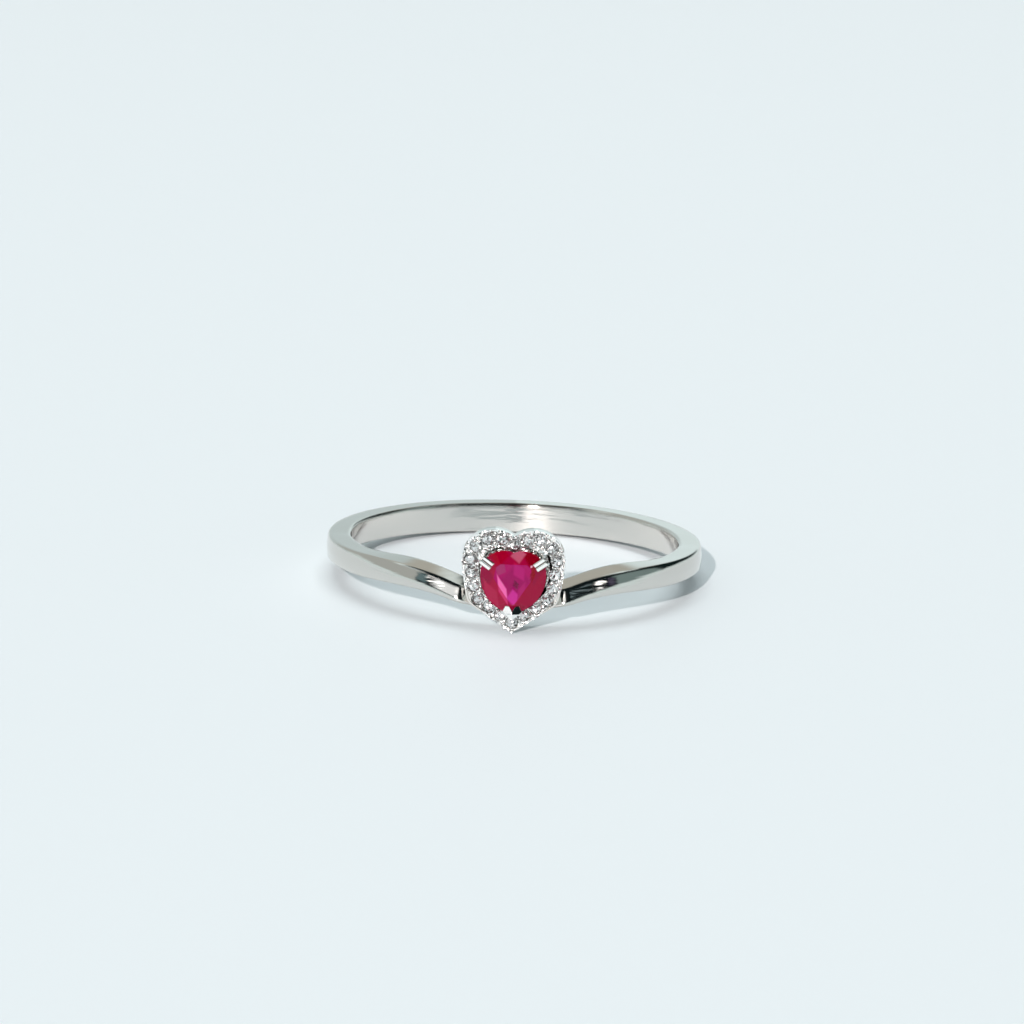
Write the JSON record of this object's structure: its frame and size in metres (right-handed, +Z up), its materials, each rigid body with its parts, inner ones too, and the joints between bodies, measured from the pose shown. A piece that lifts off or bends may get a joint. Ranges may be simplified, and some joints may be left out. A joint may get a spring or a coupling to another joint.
{
  "type": "heart ring",
  "caption": "Slim white-metal finger ring whose arms dip in a shallow V to a heart-shaped halo of small round stones round a heart-cut red stone in claws.",
  "frame": {"origin": "middle of the ring's bounding box, on the surface that the ring lies on", "axes": "+Z up as the ring lies on its side, with the heart facing -Y and its tip down; the finger's axis leans back from +Z towards +Y by the small angle at which the ring rests"},
  "size_m": [0.0194, 0.0206, 0.0052],
  "materials": {
    "white_gold": "polished, rhodium plated",
    "ruby": "faceted and polished",
    "diamond": "faceted and polished"
  },
  "bodies": {
    "root": {"band_and_setting": "white_gold", "ruby": "ruby", "halo_diamond_01": "diamond", "halo_diamond_02": "diamond", "halo_diamond_03": "diamond", "halo_diamond_04": "diamond", "halo_diamond_05": "diamond", "halo_diamond_06": "diamond", "halo_diamond_07": "diamond", "halo_diamond_08": "diamond", "halo_diamond_09": "diamond", "halo_diamond_10": "diamond", "halo_diamond_11": "diamond", "halo_diamond_12": "diamond", "halo_diamond_13": "diamond", "halo_diamond_14": "diamond", "halo_diamond_15": "diamond", "halo_diamond_16": "diamond", "halo_diamond_17": "diamond", "halo_diamond_18": "diamond", "halo_diamond_19": "diamond", "halo_diamond_20": "diamond"}
  },
  "joints": []
}
